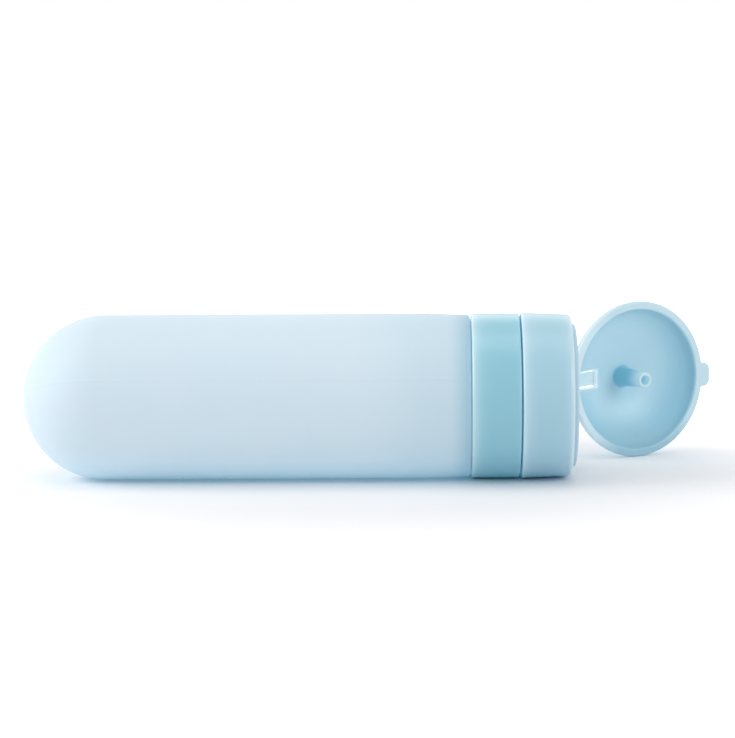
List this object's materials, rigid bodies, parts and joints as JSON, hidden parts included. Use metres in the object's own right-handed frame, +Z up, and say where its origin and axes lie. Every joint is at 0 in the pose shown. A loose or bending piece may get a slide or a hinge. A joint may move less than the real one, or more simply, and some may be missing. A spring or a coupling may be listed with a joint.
{
  "type": "travel silicone bottle",
  "caption": "Soft round-ended squeeze bottle lying on its side, with a hard collar ring, a screw cap and an open domed flip lid whose plug closes the pouring hole.",
  "frame": {"origin": "where the bottle's axis leaves the front face of the orifice plate, at the mouth of the pouring hole; the bottle lies on its side on a surface at z = -0.020 m", "axes": "+X along the bottle's axis from its round tail out of its mouth, +Y to the lid's hinge, +Z up"},
  "size_m": [0.1714, 0.066, 0.04],
  "materials": {
    "body_silicone": "matte pale blue silicone",
    "insert_plastic": "natural translucent plastic",
    "ring_plastic": "satin teal plastic",
    "seal_silicone": "clear silicone",
    "cap_plastic": "satin light blue plastic",
    "plate_plastic": "satin light blue plastic",
    "lid_plastic": "satin light blue translucent plastic",
    "leaf_plastic": "satin light blue translucent plastic",
    "pin_steel": "polished wire"
  },
  "bodies": {
    "bottle": {"silicone_body": "body_silicone", "neck_insert": "insert_plastic", "collar_ring": "ring_plastic"},
    "seal_washer": {"neck_seal": "seal_silicone"},
    "cap": {"screw_cap": "cap_plastic", "orifice_plate": "plate_plastic", "drip_valve": "seal_silicone", "valve_retainer": "insert_plastic", "hinge_pin": "pin_steel"},
    "lid": {"flip_lid": "lid_plastic", "hinge_leaf": "leaf_plastic"}
  },
  "joints": [
    {"name": "cap_lift", "type": "slide", "parent": "bottle", "child": "seal_washer", "axis": [1, 0, 0], "range_m": [0, 0.0135]},
    {"name": "cap_turn", "type": "hinge", "parent": "seal_washer", "child": "cap", "pos_m": [0, 0, 0], "axis": [1, 0, 0], "range_deg": [0, 1620]},
    {"name": "lid_hinge", "type": "hinge", "parent": "cap", "child": "lid", "pos_m": [-0.00095, 0.0224, 0], "axis": [0, 0, 1], "range_deg": [-119.3, 60]}
  ],
  "couplings": [
    {"joint": "cap_lift", "follows": "cap_turn", "m_per_rad": 0.00047746}
  ]
}
